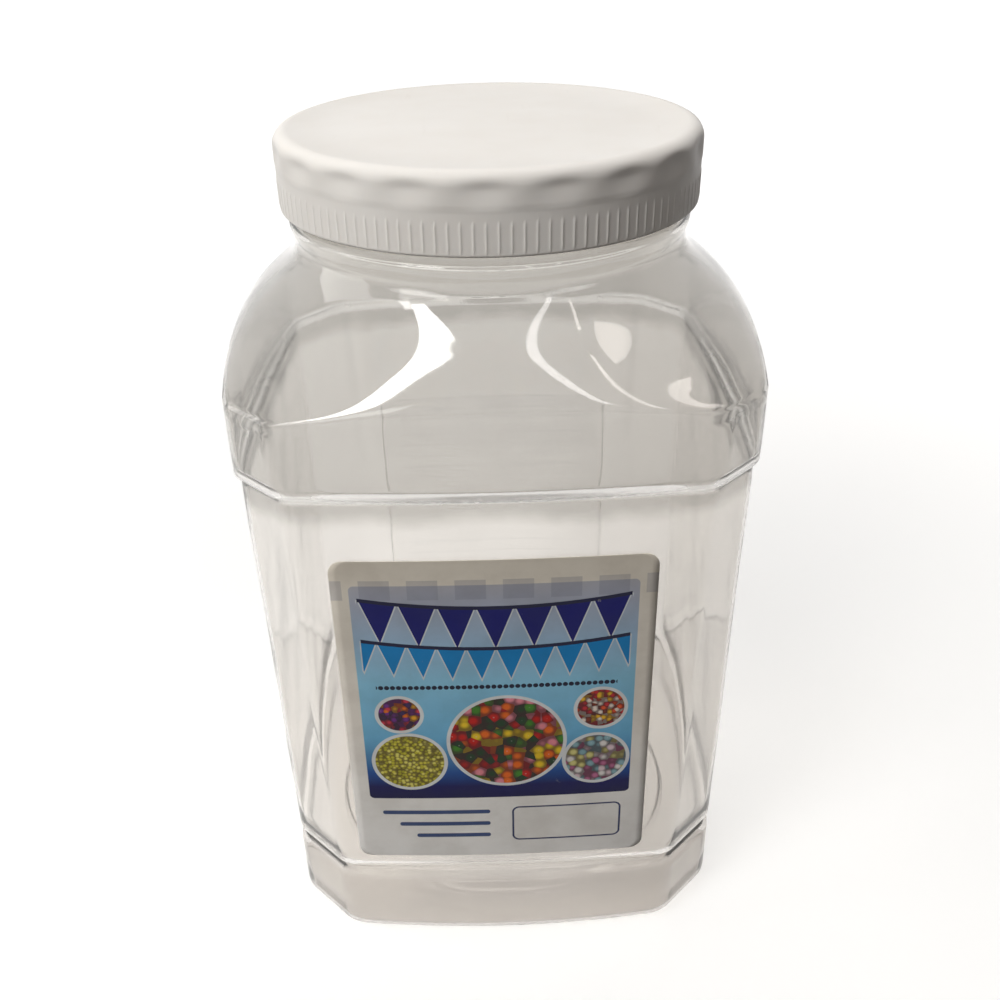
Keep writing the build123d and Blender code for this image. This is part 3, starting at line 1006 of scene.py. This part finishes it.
def printed_film():
    """Front label: satin print with slight mottling and a few rubbed spots."""
    material, tree, output = new_material("printed_film")
    place = object_place(tree)
    colour = front_print(tree, place)
    mottle = rescale(tree, noise(tree, place, scale=70, detail=5, roughness=0.6), 0.35, 0.7, 0, 1)
    colour = tint(tree, mottle, colour, (0.88, 0.87, 0.86))
    rubbed = rescale(tree, noise(tree, place, scale=210, detail=4, roughness=0.7), 0.68, 0.78, 0, 0.3)
    colour = mix_colour(tree, rubbed, colour, srgb(214, 212, 208))
    rough = rescale(tree, noise(tree, place, scale=130, detail=4), 0.3, 0.7, 0.32, 0.46)
    paint(tree, output, make_node(tree, "BsdfPrincipled", {
        "Base Color": colour,
        "Roughness": rough,
        "IOR": 1.45,
        "Specular IOR Level": 0.2,
        "Normal": bump(tree, noise(tree, place, scale=55, detail=3), strength=0.2, distance=0.0008),
    }))
    return material


def rear_film():
    """Rear label: hazy clear film with a few plain rules."""
    material, tree, output = new_material("rear_film")
    place = object_place(tree)
    x, _, z = split(tree, place)
    x = calc(tree, "DIVIDE", x, MM)
    z = calc(tree, "SUBTRACT", calc(tree, "DIVIDE", z, MM), rear_low[2] / MM)
    rule_spacing = 10.0
    rules = off_band(tree, calc(tree, "PINGPONG", z, rule_spacing / 2), rule_spacing / 4, 2.2)
    margins = off_band(tree, x, 0.0, 36.0)
    lines = inside(tree, calc(tree, "MAXIMUM", calc(tree, "MULTIPLY", rules, -1), margins))
    half_width = rear_high[0] / MM
    off_middle = calc(tree, "ABSOLUTE", x)
    side_edge = rescale(tree, off_middle, half_width - 0.9, half_width - 0.2, 0, 1)
    haze = noise(tree, place, scale=40, detail=4)
    colour = ramp(tree, haze, [(0.3, (0.74, 0.73, 0.71)), (0.7, (0.82, 0.81, 0.79))])
    colour = mix_colour(tree, lines, colour, (0.42, 0.44, 0.50))
    colour = mix_colour(tree, side_edge, colour, (0.40, 0.39, 0.37))
    cover = rescale(tree, haze, 0.3, 0.7, 0.02, 0.05)
    cover = calc(tree, "ADD", cover, calc(tree, "MULTIPLY", lines, 0.03))
    cover = calc(tree, "ADD", cover, calc(tree, "MULTIPLY", side_edge, 0.22))
    paint(tree, output, make_node(tree, "BsdfPrincipled", {
        "Base Color": colour,
        "Roughness": rescale(tree, haze, 0.3, 0.7, 0.18, 0.3),
        "IOR": 1.45,
        "Alpha": cover,
        "Normal": bump(tree, noise(tree, place, scale=60, detail=3), strength=0.15, distance=0.0006),
    }))
    return material


# Pieces
jar = make_jar()
jar.data.materials.append(clear_plastic())
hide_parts("jar_body")
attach(jar, "jar")

cap = make_cap()
cap.data.materials.append(white_plastic())
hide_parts("screw_cap")
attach(cap, "cap")

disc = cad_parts["seal_disc"]
foam = seal_foam()
for holder in disc.material_slots:
    holder.material = foam

front = make_label("front_film", front_low, front_high, -1)
front.data.materials.append(printed_film())
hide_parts("front_label")
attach(front, "jar")

rear = make_label("rear_film", rear_low, rear_high, 1)
rear.data.materials.append(rear_film())
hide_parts("rear_label")
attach(rear, "jar")


# Studio
def seen_ray(tree):
    """1 for rays that show a surface as it is: from the camera, off gloss, or through glass."""
    path = make_node(tree, "LightPath")
    seen = calc(tree, "MAXIMUM", path.outputs["Is Camera Ray"], path.outputs["Is Glossy Ray"])
    return calc(tree, "MAXIMUM", seen, path.outputs["Is Transmission Ray"])


def make_floor():
    """Pale floor that shows white where the light is full, and keeps the soft shadow."""
    half, gap = 6.0, 0.0002
    corners = [(-half, -half, 0), (half, -half, 0), (half, half, 0), (-half, half, 0)]
    mesh = bpy.data.meshes.new("floor")
    mesh.from_pydata(corners, [], [(0, 1, 2, 3)])
    floor = bpy.data.objects.new("floor", mesh)
    bpy.context.scene.collection.objects.link(floor)
    floor.location.z = -gap
    material, tree, output = new_material("floor")
    pale = make_node(tree, "BsdfDiffuse", {"Color": (0.60, 0.597, 0.59, 1)})
    x, y, _ = split(tree, object_place(tree))
    away = length(tree, x, y)
    strength = rescale(tree, away, 0.15, 0.9, 0.55, 1.0)
    to_right = rescale(tree, x, -0.04, 0.10, 0, 1)
    near = mix_colour(tree, to_right, (0.34, 0.32, 0.295), (0.05, 0.035, 0.025))
    bounce = mix_colour(tree, rescale(tree, away, 0.12, 0.5, 0, 1), near, (0.03, 0.022, 0.016))
    dull = make_node(tree, "BsdfDiffuse", {"Color": bounce})
    lift = make_node(tree, "Emission", {"Color": (1, 1, 1, 1), "Strength": strength})
    shown = make_node(tree, "AddShader", {0: pale.outputs[0], 1: lift.outputs[0]})
    shaders = {0: seen_ray(tree), 1: dull.outputs[0], 2: shown.outputs[0]}
    paint(tree, output, make_node(tree, "MixShader", shaders))
    floor.data.materials.append(material)


def make_world():
    """White round the horizon where it is seen, dimmer overhead, and ambient light from the left."""
    world = bpy.data.worlds.new("studio")
    bpy.context.scene.world = world
    world.use_nodes = True
    tree = world.node_tree
    tree.nodes.clear()
    direction = make_node(tree, "TexCoord").outputs["Generated"]
    side, _, up = split(tree, direction)
    shown = ramp(tree, up, [(0.0, (1, 1, 1)), (0.5, (1, 1, 1)), (0.9, (0.72, 0.715, 0.70))])
    ambient = ramp(tree, calc(tree, "MULTIPLY_ADD", side, 0.5, 0.5), [
        (0.0, (0.36, 0.35, 0.33)),
        (0.5, (0.125, 0.115, 0.105)),
        (0.68, (0.026, 0.017, 0.012)),
        (1.0, (0.008, 0.005, 0.003)),
    ])
    colour = mix_colour(tree, seen_ray(tree), ambient, shown)
    output = tree.nodes.new("ShaderNodeOutputWorld")
    paint(tree, output, make_node(tree, "Background", {"Color": colour, "Strength": 1.0}))


lamp_aim = Vector((0, 0, 0.20))
lamp_distance = 1.0


def add_lamp(name, bearing, elevation, size, power, colour, lean=0.0):
    """Soft rectangular lamp that faces the jar.

    Bearing is from the front to the right, and lean is how far the lamp's top tips to the right,
    both in degrees.
    """
    level = math.cos(math.radians(elevation))
    direction = Vector((
        math.sin(math.radians(bearing)) * level,
        -math.cos(math.radians(bearing)) * level,
        math.sin(math.radians(elevation)),
    ))
    lamp = bpy.data.lights.new(name, "AREA")
    lamp.shape = "RECTANGLE"
    lamp.size, lamp.size_y = size
    lamp.energy = power
    lamp.color = colour
    obj = bpy.data.objects.new(name, lamp)
    obj.location = lamp_aim + direction * lamp_distance
    tip = Quaternion((0, 0, 1), math.radians(-lean))
    obj.rotation_euler = ((-direction).to_track_quat("-Z", "Y") @ tip).to_euler()
    bpy.context.scene.collection.objects.link(obj)


def add_camera():
    """Camera at the photograph's viewing angle: a close phone lens that looks down at the jar."""
    place = (-0.00325, -0.31729, 0.31145)
    yaw, pitch, roll = -0.014, 0.529, -0.021
    forward_level = Vector((-math.sin(yaw), math.cos(yaw), 0))
    right_level = Vector((math.cos(yaw), math.sin(yaw), 0))
    up_axis = Vector((0, 0, 1))
    forward = forward_level * math.cos(pitch) - up_axis * math.sin(pitch)
    upward = forward_level * math.sin(pitch) + up_axis * math.cos(pitch)
    right = right_level * math.cos(roll) + upward * math.sin(roll)
    up = upward * math.cos(roll) - right_level * math.sin(roll)
    data = bpy.data.cameras.new("camera")
    data.sensor_fit = "HORIZONTAL"
    data.sensor_width = 36.0
    data.lens = 39.95
    data.clip_start = 0.01
    data.clip_end = 60
    camera = bpy.data.objects.new("camera", data)
    turn = Matrix((right, up, -forward)).transposed().to_4x4()
    camera.matrix_world = Matrix.Translation(place) @ turn
    bpy.context.scene.collection.objects.link(camera)
    bpy.context.scene.camera = camera


make_floor()
make_world()
add_lamp("key", -40, 56, (0.19, 0.58), 4.2, (1.0, 0.985, 0.96))
add_lamp("left_low", -35, 26, (0.58, 0.30), 1.3, (1.0, 0.985, 0.965))
add_lamp("left_window", -52, 41, (0.12, 0.24), 0.6, (1.0, 0.99, 0.975))
add_lamp("left_fill", -90, 18, (0.60, 0.60), 2.1, (1.0, 0.985, 0.965))
add_lamp("back_top", 170, 66, (0.50, 0.30), 2.3, (1.0, 0.99, 0.97))
add_lamp("front_strip", 23, 52, (0.045, 0.78), 0.62, (1.0, 0.98, 0.98))
add_lamp("right_strip", 49, 52, (0.03, 0.50), 0.26, (1.0, 0.95, 0.92), lean=30)
add_lamp("right_window", 97, 53, (0.42, 0.09), 0.42, (1.0, 0.94, 0.90), lean=36)
add_camera()
bpy.context.scene.view_settings.view_transform = "Standard"
